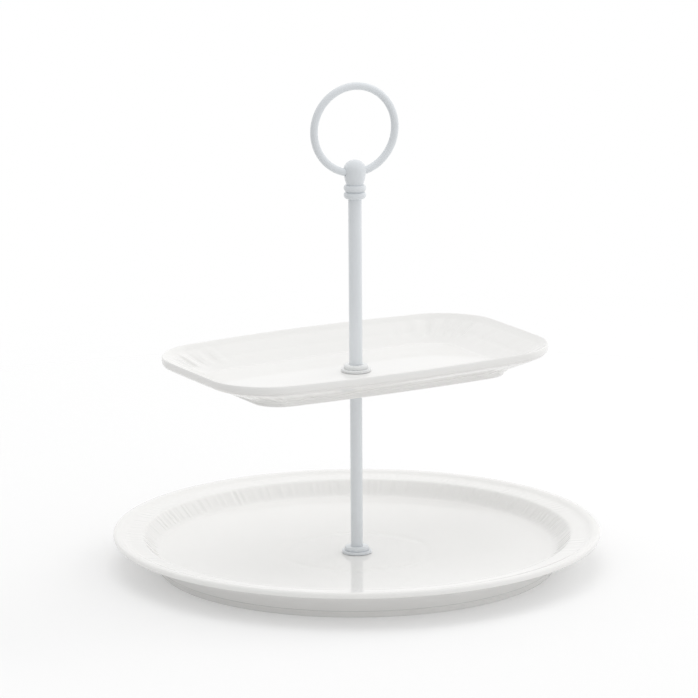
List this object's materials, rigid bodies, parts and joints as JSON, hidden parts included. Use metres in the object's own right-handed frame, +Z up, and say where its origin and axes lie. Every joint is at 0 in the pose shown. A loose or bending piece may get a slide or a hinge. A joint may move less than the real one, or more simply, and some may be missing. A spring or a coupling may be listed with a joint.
{
  "type": "tiered cake stand",
  "caption": "Cake stand with a round fluted porcelain plate below and an oblong porcelain tray above on a slim screwed metal stem, topped by a carrying ring.",
  "frame": {"origin": "centre of the plate's foot, on the surface the stand is put down on, under the stem's axis", "axes": "+Z up along the stem, X along the long side of the tray, Y along its short side"},
  "size_m": [0.28, 0.28, 0.2814],
  "materials": {
    "porcelain": "white porcelain under a clear gloss glaze",
    "stem_paint": "pale blue-grey powder coat, satin",
    "gasket": "pale soft rubber, matt",
    "steel": "zinc-plated steel, satin"
  },
  "bodies": {
    "stand": {"lower_plate": "porcelain", "base_gasket": "gasket", "base_washer": "steel", "base_screw": "steel", "plate_gasket": "gasket", "plate_cup_washer": "stem_paint", "plate_collar": "stem_paint", "lower_rod": "stem_paint", "tray_under_washer": "stem_paint", "tray_cup_washer": "stem_paint", "tray_collar": "stem_paint", "joining_stud": "steel", "upper_rod": "stem_paint", "finial_stud": "steel", "finial": "stem_paint"},
    "tray": {"upper_tray": "porcelain", "tray_gasket": "gasket", "tray_under_gasket": "gasket"},
    "ring": {"ring_handle": "stem_paint"}
  },
  "joints": [
    {"name": "tray_turn", "type": "hinge", "parent": "stand", "child": "tray", "pos_m": [0, 0, 0.1141], "axis": [0, 0, 1], "continuous": true},
    {"name": "ring_swing", "type": "hinge", "parent": "stand", "child": "ring", "pos_m": [0, 0, 0.2305], "axis": [0.9936, -0.1132, 0], "range_deg": [-170, 170]}
  ]
}
